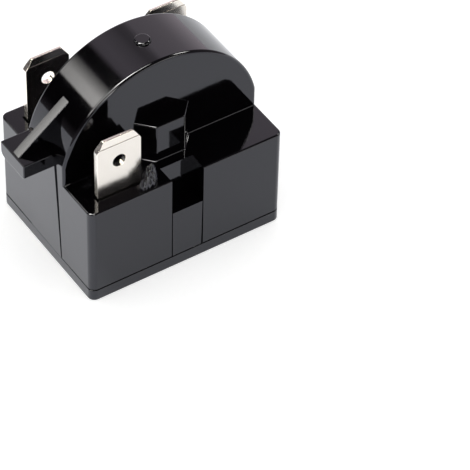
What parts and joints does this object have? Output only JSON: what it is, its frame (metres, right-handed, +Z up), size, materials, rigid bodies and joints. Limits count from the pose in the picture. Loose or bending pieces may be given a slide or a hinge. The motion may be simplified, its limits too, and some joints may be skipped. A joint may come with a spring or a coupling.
{
  "type": "compressor start relay",
  "caption": "Plug-on start relay: black moulded housing with a half-round disc drum between two blade shelves, a base cover, tinned blades, pin sockets and a PTC disc between leaf springs.",
  "frame": {"origin": "middle of the housing's footprint, on the underside of the base cover", "axes": "+X along the front wall towards the side without the ear, +Y from the single-blade shelf to the two-blade shelf, +Z up out of the base cover towards the drum"},
  "size_m": [0.0321, 0.0216, 0.0291],
  "materials": {
    "housing_plastic": "high gloss black thermoset moulding",
    "cover_plastic": "semi-gloss black moulding",
    "tinned_brass": "bright tin plate on stamped brass strip",
    "spring_steel": "rolled stainless spring strip",
    "rivet_brass": "plain brass",
    "disc_ceramic": "fired ceramic with silvered faces",
    "clear_resin": "clear glossy resin"
  },
  "bodies": {
    "root": {"housing": "housing_plastic", "base_cover": "cover_plastic", "ptc_disc": "disc_ceramic", "front_terminal": "tinned_brass", "rear_terminal": "tinned_brass", "front_pin_socket": "tinned_brass", "rear_pin_socket": "tinned_brass", "front_contact_spring": "spring_steel", "rear_contact_spring": "spring_steel", "front_contact_rivet": "rivet_brass", "rear_contact_rivet": "rivet_brass", "sealant_bead": "clear_resin"}
  },
  "joints": []
}
